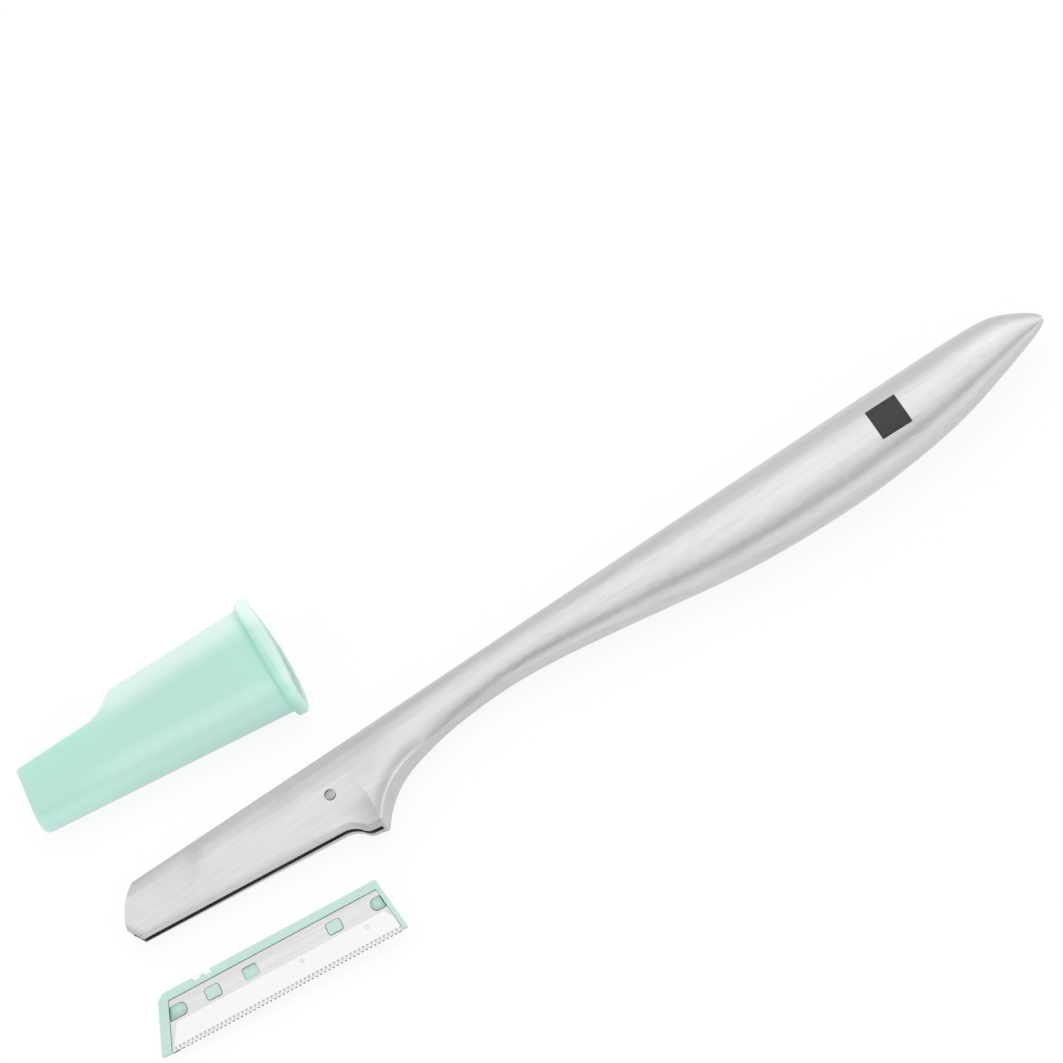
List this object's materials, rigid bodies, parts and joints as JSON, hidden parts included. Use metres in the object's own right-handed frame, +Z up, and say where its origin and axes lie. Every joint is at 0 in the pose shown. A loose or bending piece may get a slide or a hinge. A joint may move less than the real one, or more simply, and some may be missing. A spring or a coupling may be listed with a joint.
{
  "type": "eyebrow razor",
  "caption": "Slim metal eyebrow razor with a flat slotted head, a stop pin, a slide-in guarded blade cartridge and a soft slip-on cap, laid out apart.",
  "frame": {"origin": "on the flat rear cheek of the head, under the middle of the blade slot, on the table plane", "axes": "+X along the blade slot towards the butt, +Y across from the cutting edge towards the spine, +Z up out of the front cheek"},
  "size_m": [0.152, 0.0529, 0.0092],
  "materials": {
    "handle_steel": "satin, brushed along the length",
    "inlay": "plain dark enamel",
    "pin_steel": "turned, polished flush",
    "holder_plastic": "moulded, pale mint",
    "blade_steel": "rolled strip, fine lengthways lines",
    "guard_steel": "thin bright sheet",
    "cap_plastic": "soft, milky, pale mint"
  },
  "bodies": {
    "handle": {"handle": "handle_steel", "badge_inlay": "inlay", "stop_pin": "pin_steel"},
    "cartridge": {"blade_holder": "holder_plastic", "blade": "blade_steel", "comb_guard": "guard_steel"},
    "cap": {"cap": "cap_plastic"}
  },
  "joints": [
    {"name": "cartridge_slide", "type": "slide", "parent": "handle", "child": "cartridge", "axis": [0.2011, 0.9793, 0.0246], "range_m": [0, 0.01266]},
    {"name": "cap_slide", "type": "slide", "parent": "handle", "child": "cap", "axis": [-1, 0, 0], "range_m": [0, 0.045]}
  ]
}
